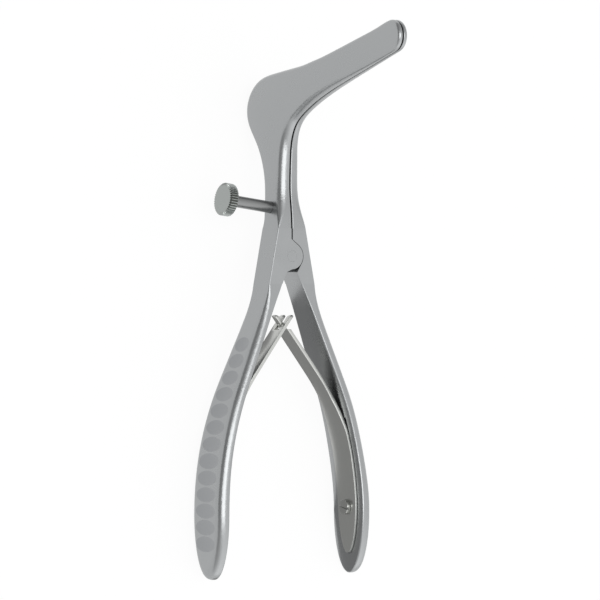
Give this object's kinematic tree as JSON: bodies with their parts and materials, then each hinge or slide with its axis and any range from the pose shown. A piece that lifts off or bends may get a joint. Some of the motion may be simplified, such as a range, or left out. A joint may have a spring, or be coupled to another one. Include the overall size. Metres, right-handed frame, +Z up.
{
  "type": "nasal speculum",
  "caption": "Hand-held steel nasal speculum: slender domed blades at an elbow, box-jointed arms with bowed finger-grip handles, forked leaf springs and a knurled set screw.",
  "frame": {"origin": "centre of the bounding box on the surface the instrument lies on", "axes": "+Y along the shank towards the elbow, +X towards the right arm (the arm without the set screw), +Z up, where the blades point"},
  "size_m": [0.0532, 0.1534, 0.0772],
  "materials": {
    "satin_steel": "satin, hand-polished forging",
    "ground_pin_steel": "ground flush and satin",
    "turned_screw_steel": "turned, straight knurl, satin",
    "spring_steel": "dull grey rolled strip",
    "small_screw_steel": "turned and polished"
  },
  "bodies": {
    "left_half": {"left_arm": "satin_steel", "pivot_pin": "ground_pin_steel", "left_spring": "spring_steel", "left_spring_screw": "small_screw_steel"},
    "right_half": {"right_arm": "satin_steel", "right_spring": "spring_steel", "right_spring_screw": "small_screw_steel"},
    "thumb_screw": {"set_screw": "turned_screw_steel"}
  },
  "joints": [
    {"name": "arm_hinge", "type": "hinge", "parent": "left_half", "child": "right_half", "pos_m": [0, 0.01583, 0.0137], "axis": [0, 0.0706, -0.9975], "range_deg": [0, 25], "stiffness_Nm_per_rad": 0.8, "springref_deg": -6.88, "deforming": ["left_spring", "right_spring"]},
    {"name": "set_screw_advance", "type": "slide", "parent": "left_half", "child": "thumb_screw", "axis": [0.9914, -0.1302, -0.0092], "range_m": [0, 0.0062]}
  ],
  "couplings": [
    {"joint": "set_screw_advance", "follows": "arm_hinge", "m_per_rad": 0.014}
  ]
}
